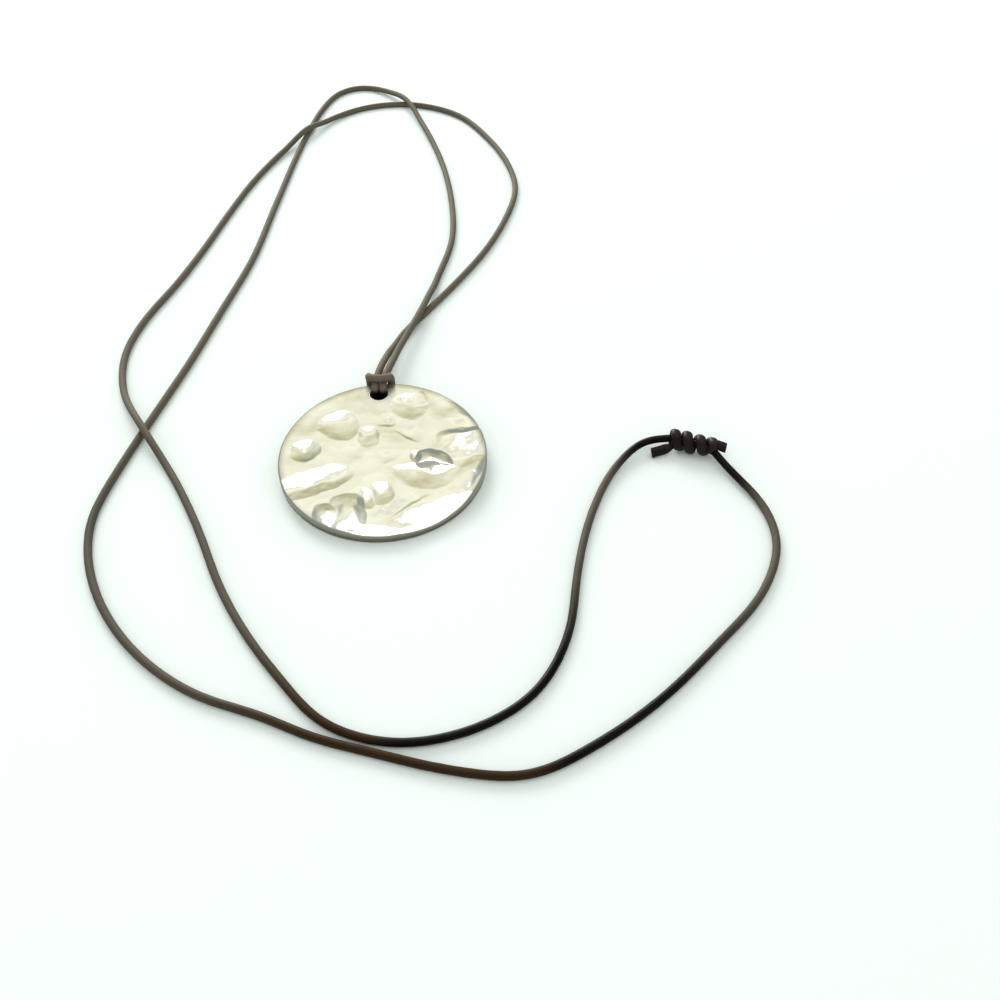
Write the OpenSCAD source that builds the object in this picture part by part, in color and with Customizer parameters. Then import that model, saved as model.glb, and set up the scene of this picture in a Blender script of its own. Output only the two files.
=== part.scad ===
// Round hammered pendant on a long looped cord, lying as it rests on a flat surface.
// Millimetres. The surface is z = 0, the disc's middle is x = y = 0, and the hole is
// near the far side of the rim.

/* [Disc] */
// Diameter of the pendant
disc_d = 30; // [29.5:0.5:30.5]
// Thickness of the pendant at its rim
disc_t = 1.8; // [1.6:0.1:2]
// Width of the band in which the face rolls down to the rim
roll_w = 1.3; // [0.9:0.1:2]
// How far the face rolls down at the rim
roll_drop = 0.15; // [0:0.05:0.3]
// Depth of the hammered relief against the real one
relief_gain = 1; // [0:0.1:1.3]
// Diameter of the hole for the cord
hole_d = 2.8; // [2.7:0.1:3]
// Metal left between the hole and the rim
rim_w = 0.95; // [0.8:0.05:1.1]
// Turn of the hole round the disc, from straight away to the left
hole_turn = 7; // [0:1:12]

/* [Cord] */
// Diameter of the waxed cord
cord_d = 1.1; // [0.9:0.05:1.1]
// Clear gap where the cord passes over itself
cord_gap = 0.06; // [0.04:0.01:0.1]
// Bend radius of the cord's middle line where it turns round the rim
hitch_bend = 0.67; // [0.62:0.01:0.7]

/* [Sliding knots] */
// Wraps of cord in each knot
knot_wraps = 2; // [2:1:3]
// Distance from one wrap to the next
wrap_pitch = 1.74; // [1.66:0.02:1.8]
// Radius of a wrap, measured to the middle of its cord
wrap_r = 1.15; // [1.1:0.05:1.2]
// Length of the left knot's cut tag end
left_tag_l = 3.2; // [2.4:0.1:3.6]
// Length of the right knot's cut tag end
right_tag_l = 2; // [1.4:0.1:2.6]

/* [Hidden] */
$fn = 48;

silver = [0.86, 0.84, 0.78];
brown = [0.30, 0.23, 0.17];
brown_dark = [0.24, 0.18, 0.13];

cord_r = cord_d / 2;
disc_r = disc_d / 2;
hole_r = hole_d / 2;
hole_y = disc_r - rim_w - hole_r;
hole_x = -hole_y * sin(hole_turn);
hole_away = hole_y * cos(hole_turn);

// The cord under the rim lifts the hole's side of the disc by its own thickness.
foot_chamfer = 0.3;
shoulder = 0.2;
face_inset = 0.15;
pivot_y = disc_r - foot_chamfer;
tilt = asin((cord_d + cord_gap) / (pivot_y + hole_y + hole_r));
function underside(y) = (y + pivot_y) * sin(tilt);

// Shallow undulations of the face, in the disc's own plane with the hole straight away.
// Each row is x, y, length, width, depth and turn. A negative depth is a swelling.
hollows = [
    [0.4, -0.6, 3.6, 3.2, 0.07, 0],
    [-5.2, 1, 7, 5, 0.08, -20],
    [12, -1.4, 8, 6, 0.1, 0],
    [-10, 8.4, 9, 6, 0.14, 45],
    [9.6, 9, 8, 5, 0.14, -40],
    [2.6, 4.6, 7, 6, 0.1, -30],
    [-2.4, 0.9, 3.4, 3, -0.06, 0],
    [0.8, -12.4, 8.4, 8, 0.15, 10],
];

// Hammer marks with a clear edge, first the sunk ones, then the raised ones. Each row is
// x, y, length, width, depth and turn, then how far the middle line leans to the near edge,
// how steeply the edge falls (less is steeper), and how blunt the ends are.
cups = [
    [-6, 6.4, 6.2, 6.4, 0.38, 30, -0.35, 0.9, 2],
    [4.6, 9.4, 5.8, 6, 0.35, 6, -0.3, 0.6, 2],
    [-1.9, 3.8, 3.2, 4.2, 0.24, 0, -0.2, 0.6, 4],
    [-11.1, 2, 4.8, 4.2, 0.44, 32, 0, 0.6, 2],
    [-10.1, -4.2, 12, 4.8, 0.4, 17, 0.2, 0.6, 4],
    [5.8, -4.9, 9.6, 5, 0.4, -6, -0.55, 0.7, 2],
    [-2.5, -8.3, 3, 3.8, 0.28, 10, 0, 0.6, 2],
    [-0.6, -7.4, 3.6, 4.6, 0.34, 10, 0, 0.6, 2],
    [8.5, -14.7, 15, 10.4, 0.84, 24, 0, 0.5, 4],
    [-2.4, -15.8, 12, 5.6, 0.44, -3, 0, 0.5, 2],
    [4.4, 4, 4.6, 3, 0.16, -42, 0.55, 0.7, 2],
    [0.9, 7, 3, 3, 0.16, -5, 0.55, 0.7, 2],
    [4.7, -1, 1.6, 2.4, 0.22, 20, 0, 0.7, 2],
];
ridges = [
    [7.1, -2.1, 5.6, 4.2, 0.64, -28, 0, 0.5, 3],
    [12.2, 0.9, 8.8, 6.4, 0.43, 4, -0.58, 0.4, 4],
    [-8.1, -10.4, 4.6, 3.8, 0.46, -44, -0.1, 0.6, 2],
    [-5.5, -10.4, 7, 5.4, 0.56, -86, -0.35, 0.5, 3],
    [3.6, -10.9, 7, 2.2, 0.15, 32, -0.5, 0.6, 2],
    [12.2, -4.5, 8, 3, 0.22, 63, 0.3, 0.6, 2],
    [5.6, 10.7, 3, 3.4, 0.16, -80, -0.6, 0.7, 2],
    [11.4, 6.6, 7, 3, 0.2, -59, -0.4, 0.6, 2],
];

// Depth over which the edge between two marks is eased.
mark_soft = 0.03;

function sum(v) = v * [for (i = v) 1];

// A point's place in a mark along its length and across it, each from -1 to 1.
function in_mark(m, x, y) =
    let (dx = x - m[0], dy = y - m[1], c = cos(m[5]), s = sin(m[5]))
    [(dx * c + dy * s) * 2 / m[2], (dy * c - dx * s) * 2 / m[3]];

// A hollow fades out at its oval edge.
function hollow_depth(m, x, y) =
    let (q = in_mark(m, x, y), left = max(0, 1 - q * q))
    m[4] * left * left;

// A cup or a ridge ends at a clear edge.
function mark_depth(m, x, y) =
    let (place = in_mark(m, x, y), lean = m[6], b = place[1] + lean,
         across = b > 0 ? b / (1 + lean) : b / (1 - lean),
         q = pow(abs(place[0]), m[8]) + across * across)
    q < 1 ? m[4] * (1 - pow(q, m[7])) : 0;

// The deeper of two depths, with the edge between them eased.
function eased(deep, here) =
    let (share = min(1, max(0, 0.5 + 0.5 * (deep - here) / mark_soft)))
    here * (1 - share) + deep * share + mark_soft * share * (1 - share);
function struck(marks, x, y, i = 0, deep = 0) =
    i == len(marks) ? deep :
    let (here = mark_depth(marks[i], x, y))
    struck(marks, x, y, i + 1, here > 0 ? eased(deep, here) : deep);

function roll_depth(r) =
    let (out = max(0, r - disc_r + roll_w) / roll_w) roll_drop * out * out;
function face_z(x, y) =
    disc_t - roll_depth(norm([x, y]))
    + relief_gain * (struck(ridges, x, y) - struck(cups, x, y)
                     - sum([for (m = hollows) hollow_depth(m, x, y)]));

// The face is a net of even triangles: ring k holds 6k points.
face_rings = 34;
function ring_start(k) = k == 0 ? 0 : 1 + 3 * k * (k - 1);
function ring_point(k, i) = ring_start(k) + (k == 0 ? 0 : i % (6 * k));
rim_n = 6 * face_rings;
rim_start = ring_start(face_rings);
wall_start = ring_start(face_rings + 1);

face_points = [
    for (k = [0:face_rings]) for (i = [0:max(1, 6 * k) - 1])
        let (r = (disc_r - face_inset) * k / face_rings, a = 60 * i / max(1, k),
             x = r * cos(a), y = r * sin(a))
        [x, y, face_z(x, y)]
];
face_triangles = [
    for (k = [1:face_rings]) for (s = [0:5]) for (j = [0:k - 1])
        let (outer = s * k + j, inner = s * (k - 1) + j)
        each concat(
            [[ring_point(k, outer + 1), ring_point(k, outer), ring_point(k - 1, inner)]],
            j == k - 1 ? [] :
            [[ring_point(k, outer + 1), ring_point(k - 1, inner), ring_point(k - 1, inner + 1)]]
        )
];

// Three rings below the face make the shoulder, the side wall and the foot.
function wall_ring(r, z) = [
    for (i = [0:rim_n - 1]) let (a = 360 * i / rim_n) [r * cos(a), r * sin(a), z]
];
shoulder_ring = [
    for (i = [0:rim_n - 1])
        let (a = 360 * i / rim_n, x = disc_r * cos(a), y = disc_r * sin(a))
        [x, y, face_z(x, y) - shoulder]
];
wall_points = concat(
    shoulder_ring,
    wall_ring(disc_r, foot_chamfer),
    wall_ring(disc_r - foot_chamfer, 0)
);
function rim_index(level, i) =
    (level == 0 ? rim_start : wall_start + (level - 1) * rim_n) + i % rim_n;
wall_triangles = [
    for (level = [0:2]) for (i = [0:rim_n - 1]) each [
        [rim_index(level, i), rim_index(level, i + 1), rim_index(level + 1, i)],
        [rim_index(level, i + 1), rim_index(level + 1, i + 1), rim_index(level + 1, i)]
    ]
];
back_polygon = [[for (i = [0:rim_n - 1]) rim_index(3, i)]];

// Round pendant: one metal disc with a hammered face and a plain back.
module pendant_disc() {
    middle = (disc_t + foot_chamfer - shoulder) / 2 * sin(tilt);
    color(silver)
    rotate([0, 0, hole_turn])
    translate([0, middle, pivot_y * sin(tilt)])
    rotate([tilt, 0, 0])
    difference() {
        polyhedron(
            points = concat(face_points, wall_points),
            faces = concat(face_triangles, wall_triangles, back_polygon),
            convexity = 6
        );
        translate([0, hole_y, -1])
        cylinder(r = hole_r, h = disc_t + 2);
    }
}

function unit(v) = v / norm(v);
function square_to(v, along) = unit(v - (v * along) * along);

// Directions along a path; the two end faces may be set square to given directions.
function path_directions(path, first, last) =
    let (n = len(path))
    [for (i = [0:n - 1])
        i == 0 && !is_undef(first) ? unit(first) :
        i == n - 1 && !is_undef(last) ? unit(last) :
        unit(path[min(i + 1, n - 1)] - path[max(i - 1, 0)])];

// Round cord along a path, one ring of points at each point of the path.
module cord_tube(path, first = undef, last = undef, up = [0, 0, 1], sides = 8) {
    n = len(path);
    dir = path_directions(path, first, last);
    side = [
        for (i = 0, v = square_to(up, dir[0]); i < n;
             i = i + 1, v = i < n ? square_to(v, dir[i]) : v) v
    ];
    points = [
        for (i = [0:n - 1]) for (s = [0:sides - 1])
            let (a = 360 * s / sides)
            path[i] + cord_r * (cos(a) * side[i] + sin(a) * cross(dir[i], side[i]))
    ];
    walls = [
        for (i = [0:n - 2]) for (s = [0:sides - 1])
            let (a = i * sides + s, b = i * sides + (s + 1) % sides)
            each [[a, a + sides, b], [b, a + sides, b + sides]]
    ];
    ends = [
        [for (s = [0:sides - 1]) s],
        [for (s = [sides - 1:-1:0]) (n - 1) * sides + s]
    ];
    polyhedron(points = points, faces = concat(walls, ends), convexity = 8);
}

// The hitch, seen from the hole's middle with y away from the disc: each strand comes in
// over the rim, goes down through the hole and back out under the rim, rises beside the
// other strand and joins its mate in the bar that crosses above both.
pair_x = (cord_d + cord_gap) / 2;
leg_x = pair_x + cord_d + cord_gap;
rim_away = disc_r - hole_y;
leg_y = rim_away + cord_r + 0.15;
bar_y = rim_away - 0.9;
pass_y = sqrt(pow(hole_r - cord_r, 2) - pow(pair_x, 2)) - cord_gap;
turn_y = pass_y + hitch_bend;
low_z = underside(hole_y + hole_r);
top_z = low_z + disc_t;
over_z = top_z + hitch_bend;
strand_z = over_z - 0.3;
bar_z = over_z + cord_d + cord_gap;
join_y = leg_y + 0.2;

hitch_half = concat(
    [[pair_x, join_y, strand_z - 0.03],
     [pair_x, leg_y - 0.25, strand_z + 0.1],
     [pair_x, rim_away, over_z - 0.04]],
    [for (a = [0:30:90]) [pair_x, turn_y - hitch_bend * sin(a), top_z + hitch_bend * cos(a)]],
    [[pair_x, pass_y, low_z + 0.4],
     [pair_x, pass_y + 0.04, low_z - 0.15],
     [pair_x + 0.02, pass_y + 0.27, cord_r + 0.13],
     [pair_x + 0.1, turn_y, cord_r + 0.01],
     [pair_x + 0.5, rim_away - 0.4, cord_r],
     [leg_x - 0.25, rim_away + 0.15, cord_r + 0.03],
     [leg_x - 0.05, leg_y - 0.15, cord_r + 0.3],
     [leg_x, leg_y, cord_r + 0.9],
     [leg_x, leg_y, bar_z - 2.2],
     [leg_x, leg_y - 0.15, bar_z - 1.4],
     [leg_x - 0.04, leg_y - 0.6, bar_z - 0.7],
     [leg_x - 0.1, bar_y + 0.6, bar_z - 0.25],
     [leg_x - 0.3, bar_y + 0.15, bar_z - 0.05],
     [leg_x - 0.7, bar_y, bar_z]]
);
hitch_other_half = [
    for (i = [len(hitch_half) - 1:-1:0]) let (p = hitch_half[i]) [-p[0], p[1], p[2]]
];

module cord_hitch() {
    color(brown)
    translate([hole_x, hole_away, 0])
    cord_tube(concat(hitch_half, hitch_other_half), first = [0, -1, 0], last = [0, 1, 0]);
}

// Sliding knots: place of the pair's middle, direction of its length, and its size.
knot_x = 45.2;
knot_y = 2.9;
knot_turn = -18;
knot_gap = 0.1;
core_r = 1.2;
wrap_inset = 0.15;
knot_r = wrap_r + cord_r;
knot_l = (knot_wraps - 1) * wrap_pitch + cord_d + 2 * wrap_inset;
knot_dir = [cos(knot_turn), sin(knot_turn), 0];
knot_side = [-sin(knot_turn), cos(knot_turn), 0];
knot_middle = [knot_x, knot_y, knot_r];
knot_end = knot_l + knot_gap / 2;

// Each strand meets its knot's end face off the axis, clear of the tag end beside it.
left_shift = [0, 0, 0.15];
right_shift = -0.5 * knot_side - [0, 0, 0.35];
knot_left_joint = knot_middle - knot_end * knot_dir + left_shift;
knot_right_joint = knot_middle + knot_end * knot_dir + right_shift;

// Where each strand meets the hitch.
hitch_left_joint = [hole_x - pair_x, hole_away + join_y, strand_z - 0.03];
hitch_right_joint = [hole_x + pair_x, hole_away + join_y, strand_z - 0.03];

// Route of the left strand from the hitch to the left knot. Each row is x, y and the
// height of the cord above where it lies on the surface.
left_route = [
    [-1.8, 18.5, 2.4], [-1.3, 23.5, 1], [0, 28.5, 0], [4.7, 37, 0], [9.5, 45.5, 0],
    [14, 54.5, 0], [18, 66, 0], [20, 77, 0], [18.5, 86.5, 0], [14, 98, 0],
    [7, 108.5, 0], [-3.5, 113, 0], [-14.5, 110.5, 0], [-20.5, 104.5, 0.3],
    [-24, 99, 1.2], [-28, 91.5, 0.2], [-32, 80.5, 0], [-35, 67.5, 0],
    [-37.5, 54.5, 0], [-40, 44, 0], [-43, 34, 0], [-44, 25, 0], [-42, 16, 0.1],
    [-36.5, 6.5, 1.2], [-30.5, -2, 0], [-24.5, -12.5, 0], [-19.1, -23.6, 0],
    [-12.8, -33, 0], [-8.8, -37.7, 0], [-4.6, -42.3, 0], [4, -45.4, 0],
    [13.5, -43.8, 0], [21, -38.9, 0], [25.5, -30.2, 0], [27, -20.5, 0], [29.5, -10, 0],
    [33.7, -0.8, 0.3], [37.9, 3.7, 0.8]
];

// Route of the right strand from the hitch to the right knot.
right_route = [
    [-0.4, 18.5, 2.5], [0.4, 23.5, 1.8], [1.6, 28.5, 1.3], [3.3, 34, 1.2],
    [4.5, 39.5, 0.8], [5.6, 45.5, 0], [8, 58, 0], [7.5, 71.5, 0], [5, 87, 0],
    [0, 103.5, 0.4], [-4, 113, 1.2], [-9, 119, 0.3], [-14, 121.5, 0],
    [-19, 119, 0], [-22, 111.5, 0], [-24, 99.5, 0], [-26.5, 71, 0],
    [-28, 51, 0], [-30.5, 37, 0], [-33, 23, 0], [-36.5, 7, 0], [-38.5, -3, 0],
    [-39.5, -11, 0], [-38, -18, 0], [-34, -26, 0], [-27.5, -33.5, 0],
    [-19, -39.2, 0], [-10.8, -41.9, 0], [-5, -44.6, 0], [1, -46.2, 0], [12, -48.9, 0],
    [20, -49.5, 0], [28, -45.5, 0], [36, -39.6, 0], [44, -31.5, 0],
    [51, -23.5, 0], [54.5, -14, 0], [53.3, -7.5, 0.2], [50.2, -2.6, 0.5]
];

function lifted(route) = [for (p = route) [p[0], p[1], p[2] + cord_r]];

module cord_strand_left() {
    color(brown)
    cord_tube(
        concat([hitch_left_joint], lifted(left_route), [knot_left_joint]),
        first = [0, 1, 0], last = knot_dir
    );
}

module cord_strand_right() {
    color(brown)
    cord_tube(
        concat([hitch_right_joint], lifted(right_route), [knot_right_joint]),
        first = [0, 1, 0], last = -knot_dir
    );
}

// Barrel of cord wound round the other strand, its axis along x from x = 0.
module knot_barrel() {
    rotate([0, 90, 0])
    rotate_extrude() {
        square([core_r, knot_l]);
        for (i = [0:knot_wraps - 1])
            translate([wrap_r, (knot_l - (knot_wraps - 1) * wrap_pitch) / 2 + i * wrap_pitch])
            circle(r = cord_r);
    }
}

// Cut end of the cord that leaves a barrel. It starts inside the barrel at root, runs at
// turn from the barrel's axis and dips below the level by dip.
tag_r = cord_r * 0.9;
frayed_r = cord_r * 1.1;
tag_root = 0.5;
module tag_end(root, turn, dip, length) {
    translate(root)
    rotate([0, 90 + dip, turn])
    cylinder(r1 = tag_r, r2 = frayed_r, h = length + tag_root);
}

module slide_knot_left() {
    color(brown_dark)
    translate(knot_middle - knot_end * knot_dir)
    rotate([0, 0, knot_turn])
    union() {
        knot_barrel();
        tag_end(root = [tag_root, -0.8, -0.6], turn = 215, dip = 6, length = left_tag_l);
    }
}

module slide_knot_right() {
    color(brown_dark)
    translate(knot_middle + knot_gap / 2 * knot_dir)
    rotate([0, 0, knot_turn])
    union() {
        knot_barrel();
        tag_end(root = [knot_l - tag_root, 0.5, 0.45], turn = -2, dip = 10, length = right_tag_l);
    }
}

pendant_disc();
cord_hitch();
cord_strand_left();
cord_strand_right();
slide_knot_left();
slide_knot_right();
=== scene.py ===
import math

import bpy
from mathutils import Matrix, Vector, noise


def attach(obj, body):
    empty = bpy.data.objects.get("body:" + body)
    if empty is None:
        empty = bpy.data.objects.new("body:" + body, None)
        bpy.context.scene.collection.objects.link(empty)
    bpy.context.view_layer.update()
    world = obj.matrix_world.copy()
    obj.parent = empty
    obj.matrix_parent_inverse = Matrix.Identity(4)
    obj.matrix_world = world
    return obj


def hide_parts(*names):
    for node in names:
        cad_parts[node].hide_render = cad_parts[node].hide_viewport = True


# Hammered round pendant on a long waxed cord, lying on a pale surface.
# Everything is in metres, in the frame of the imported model.
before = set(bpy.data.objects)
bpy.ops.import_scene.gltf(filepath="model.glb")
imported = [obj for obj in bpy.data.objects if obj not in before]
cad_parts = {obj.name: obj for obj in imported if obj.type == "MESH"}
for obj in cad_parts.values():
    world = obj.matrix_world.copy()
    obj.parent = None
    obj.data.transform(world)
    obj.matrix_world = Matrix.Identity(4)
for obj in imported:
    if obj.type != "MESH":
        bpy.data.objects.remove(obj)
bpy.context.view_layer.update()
scene = bpy.context.scene


# Camera
# The photograph is a close view from 141 mm away that looks down at 47 degrees. The lens is
# as long as its film is wide, both in millimetres.
AIM = Vector((0.01687, -0.00685, 0))
AIM_FAR = 0.141
LOOK_DOWN = math.radians(47)
FILM_W = 36
NEAREST = 0.005

camera_data = bpy.data.cameras.new("camera")
camera_data.sensor_width = FILM_W
camera_data.lens = FILM_W
camera_data.clip_start = NEAREST
camera = bpy.data.objects.new("camera", camera_data)
camera.location = AIM + AIM_FAR * Vector((0, -math.cos(LOOK_DOWN), math.sin(LOOK_DOWN)))
camera.rotation_euler = (math.radians(90) - LOOK_DOWN, 0, 0)
scene.collection.objects.link(camera)
scene.camera = camera


# Cord
# One round cord of waxed, twisted thread, laid loosely on the surface. It is made as one
# smooth line from the left sliding knot round the pendant's hitch to the right one, and
# cut into the two strands and the hitch.
CORD_D = 0.0011
CORD_R = CORD_D / 2
CORD_GAP = 0.00006
CORD_SIDES = 16
LINE_STEP = 0.0004

# The disc's measures that the hitch depends on. The cord under its rim tilts it.
DISC_R = 0.015
DISC_T = 0.0018
HOLE_R = 0.0014
RIM_W = 0.00095
HOLE_Y = DISC_R - RIM_W - HOLE_R
HOLE_TURN = math.radians(7)
HOLE = Vector((-HOLE_Y * math.sin(HOLE_TURN), HOLE_Y * math.cos(HOLE_TURN), 0))
FOOT_CHAMFER = 0.0003
PIVOT_Y = DISC_R - FOOT_CHAMFER
TILT = math.asin((CORD_D + CORD_GAP) / (PIVOT_Y + HOLE_Y + HOLE_R))

# Each row is x, y and the height of the cord above where it lies on the surface.
LEFT_ROUTE = [
    (-0.0018, 0.0185, 0.0024), (-0.0013, 0.0235, 0.0010), (0.0000, 0.0285, 0.0000),
    (0.0047, 0.0370, 0.0000), (0.0095, 0.0455, 0.0000), (0.0140, 0.0545, 0.0000),
    (0.0180, 0.0660, 0.0000), (0.0200, 0.0770, 0.0000), (0.0185, 0.0865, 0.0000),
    (0.0140, 0.0980, 0.0000), (0.0070, 0.1085, 0.0000), (-0.0035, 0.1130, 0.0000),
    (-0.0145, 0.1105, 0.0000), (-0.0205, 0.1045, 0.0003), (-0.0240, 0.0990, 0.0012),
    (-0.0280, 0.0915, 0.0002), (-0.0320, 0.0805, 0.0000), (-0.0350, 0.0675, 0.0000),
    (-0.0375, 0.0545, 0.0000), (-0.0400, 0.0440, 0.0000), (-0.0430, 0.0340, 0.0000),
    (-0.0440, 0.0250, 0.0000), (-0.0420, 0.0160, 0.0001), (-0.0365, 0.0065, 0.0012),
    (-0.0305, -0.0020, 0.0000), (-0.0245, -0.0125, 0.0000), (-0.0191, -0.0236, 0.0000),
    (-0.0128, -0.0330, 0.0000), (-0.0088, -0.0377, 0.0000), (-0.0046, -0.0423, 0.0000),
    (0.0040, -0.0454, 0.0000), (0.0135, -0.0438, 0.0000), (0.0210, -0.0389, 0.0000),
    (0.0255, -0.0302, 0.0000), (0.0270, -0.0205, 0.0000), (0.0295, -0.0100, 0.0000),
    (0.0337, -0.0008, 0.0003), (0.0379, 0.0037, 0.0008),
]
RIGHT_ROUTE = [
    (-0.0004, 0.0185, 0.0025), (0.0004, 0.0235, 0.0018), (0.0016, 0.0285, 0.0013),
    (0.0033, 0.0340, 0.0012), (0.0045, 0.0395, 0.0008), (0.0056, 0.0455, 0.0000),
    (0.0080, 0.0580, 0.0000), (0.0075, 0.0715, 0.0000), (0.0050, 0.0870, 0.0000),
    (0.0000, 0.1035, 0.0004), (-0.0040, 0.1130, 0.0012), (-0.0090, 0.1190, 0.0003),
    (-0.0140, 0.1215, 0.0000), (-0.0190, 0.1190, 0.0000), (-0.0220, 0.1115, 0.0000),
    (-0.0240, 0.0995, 0.0000), (-0.0265, 0.0710, 0.0000), (-0.0280, 0.0510, 0.0000),
    (-0.0305, 0.0370, 0.0000), (-0.0330, 0.0230, 0.0000), (-0.0365, 0.0070, 0.0000),
    (-0.0385, -0.0030, 0.0000), (-0.0395, -0.0110, 0.0000), (-0.0380, -0.0180, 0.0000),
    (-0.0340, -0.0260, 0.0000), (-0.0275, -0.0335, 0.0000), (-0.0190, -0.0392, 0.0000),
    (-0.0108, -0.0419, 0.0000), (-0.0050, -0.0446, 0.0000), (0.0010, -0.0462, 0.0000),
    (0.0120, -0.0489, 0.0000), (0.0200, -0.0495, 0.0000), (0.0280, -0.0455, 0.0000),
    (0.0360, -0.0396, 0.0000), (0.0440, -0.0315, 0.0000), (0.0510, -0.0235, 0.0000),
    (0.0545, -0.0140, 0.0000), (0.0533, -0.0075, 0.0002), (0.0502, -0.0026, 0.0005),
]

# The hitch's right half: over the rim, down through the hole, back under the rim, up its leg
# and over to the middle of its bar. Each row is x, y and z from the surface under the hole's
# middle, with y away from the disc. The legs press on the pair of strands by TIGHT.
HITCH_BEND = 0.00067
TIGHT = 0.00004
PAIR_X = (CORD_D + CORD_GAP) / 2
LEG_X = PAIR_X + CORD_D - TIGHT
RIM_AWAY = DISC_R - HOLE_Y
LEG_Y = RIM_AWAY + CORD_R + 0.00015
BAR_Y = RIM_AWAY - 0.0009
PASS_Y = math.sqrt((HOLE_R - CORD_R) ** 2 - PAIR_X ** 2) - CORD_GAP
TURN_Y = PASS_Y + HITCH_BEND
LOW_Z = (HOLE_Y + HOLE_R + PIVOT_Y) * math.sin(TILT)
TOP_Z = LOW_Z + DISC_T
OVER_Z = TOP_Z + HITCH_BEND
STRAND_Z = OVER_Z - 0.0003
BAR_Z = OVER_Z + CORD_D + CORD_GAP
JOIN_Y = LEG_Y + 0.0002

OVER_RIM = [
    (PAIR_X, JOIN_Y, STRAND_Z - 0.00003),
    (PAIR_X, LEG_Y - 0.00025, STRAND_Z + 0.0001),
    (PAIR_X, RIM_AWAY, OVER_Z - 0.00004),
]
ROUND_EDGE = [
    (PAIR_X, TURN_Y - HITCH_BEND * math.sin(a), TOP_Z + HITCH_BEND * math.cos(a))
    for a in (math.radians(turn) for turn in (0, 30, 60, 90))
]
BACK_UNDER = [
    (PAIR_X, PASS_Y, LOW_Z + 0.0004),
    (PAIR_X, PASS_Y + 0.00004, LOW_Z - 0.00015),
    (PAIR_X + 0.00002, PASS_Y + 0.00027, CORD_R + 0.00013),
    (PAIR_X + 0.0001, TURN_Y, CORD_R + 0.00001),
    (PAIR_X + 0.0005, RIM_AWAY - 0.0004, CORD_R),
    (LEG_X - 0.00025, RIM_AWAY + 0.00015, CORD_R + 0.00003),
]
LEG_AND_BAR = [
    (LEG_X - 0.00005, LEG_Y - 0.00015, CORD_R + 0.0003),
    (LEG_X, LEG_Y, CORD_R + 0.0009),
    (LEG_X, LEG_Y, BAR_Z - 0.0022),
    (LEG_X, LEG_Y - 0.00015, BAR_Z - 0.0014),
    (LEG_X - 0.00004, LEG_Y - 0.0006, BAR_Z - 0.0007),
    (LEG_X - 0.0001, BAR_Y + 0.0006, BAR_Z - 0.00025),
    (LEG_X - 0.0003, BAR_Y + 0.00015, BAR_Z - 0.00005),
    (LEG_X - 0.0007, BAR_Y, BAR_Z),
]
RIGHT_HITCH = [HOLE + Vector(p) for p in OVER_RIM + ROUND_EDGE + BACK_UNDER + LEG_AND_BAR]
LEFT_HITCH = [Vector((2 * HOLE.x - p.x, p.y, p.z)) for p in RIGHT_HITCH]

# The pair of sliding knots: its middle, its direction and the length of one knot.
KNOT_TURN = math.radians(-18)
KNOT_R = 0.0017
KNOT_L = 0.00314
KNOT_END = KNOT_L + 0.00005
KNOT_MIDDLE = Vector((0.0452, 0.0029, KNOT_R))

# Where each strand enters its knot, across and up from the knots' middle line.
LEFT_ENTRY = (0, 0.00015)
RIGHT_ENTRY = (-0.0005, -0.00035)


def at_knot(x, y, z):
    """A point from the knots' middle, with x along the pair and y to its far side."""
    c, s = math.cos(KNOT_TURN), math.sin(KNOT_TURN)
    return KNOT_MIDDLE + Vector((x * c - y * s, x * s + y * c, z))


def smooth_line(points, spacing):
    """Points on one smooth curve through the given points, and where each of those lies.
    Heights never overshoot, so the cord doesn't dip into the surface between two points."""
    gaps = [(b - a).length for a, b in zip(points, points[1:])]
    runs = [(b - a) / gap for a, b, gap in zip(points, points[1:], gaps)]
    ways = [runs[0]]
    for before, after, gap, next_gap in zip(runs, runs[1:], gaps, gaps[1:]):
        way = (before * next_gap + after * gap) / (gap + next_gap)
        same = before.z * after.z > 0
        way.z = 2 * before.z * after.z / (before.z + after.z) if same else 0
        ways.append(way)
    ways.append(runs[-1])
    line, found = [], []
    for i, gap in enumerate(gaps):
        found.append(len(line))
        steps = max(1, math.ceil(gap / spacing))
        for u in (s / steps for s in range(steps)):
            line.append(
                points[i] * (2 * u ** 3 - 3 * u ** 2 + 1)
                + points[i + 1] * (3 * u ** 2 - 2 * u ** 3)
                + ways[i] * gap * (u ** 3 - 2 * u ** 2 + u)
                + ways[i + 1] * gap * (u ** 3 - u ** 2)
            )
    found.append(len(line))
    line.append(points[-1])
    return line, found


# The ease starts EASE_STILL times EASE_HOLD from an end and is full one EASE_HOLD further in.
EASE_PASSES = 80
EASE_HOLD = 0.006
EASE_STILL = 0.2


def relaxed(line):
    """The line with its small unevenness eased out across the surface, as the cord's own
    stiffness does. Its two ends stay as they are."""
    line = [p.copy() for p in line]
    steps = [(b - a).length for a, b in zip(line, line[1:])]
    far = [sum(steps[:i]) for i in range(len(line))]
    free = [min(1.0, max(0.0, min(f, far[-1] - f) / EASE_HOLD - EASE_STILL)) for f in far]
    for _ in range(EASE_PASSES):
        eased = [(a + b) / 2 - p for a, p, b in zip(line, line[1:], line[2:])]
        for i, change in enumerate(eased, 1):
            line[i].x += change.x * free[i] / 2
            line[i].y += change.y * free[i] / 2
    return line


def put(name, mesh, material):
    """Links a mesh as an object that rides on the necklace's one body."""
    made = bpy.data.objects.new(name, mesh)
    scene.collection.objects.link(made)
    mesh.materials.append(material)
    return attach(made, "root")


# A cord's thickness varies by UNEVEN. Where it is pressed wide, it gets thinner across by
# PRESS_THINS times as much.
UNEVEN = 0.03
UNEVEN_BUMPS_PER_M = 900
PRESS_THINS = 0.45


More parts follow.
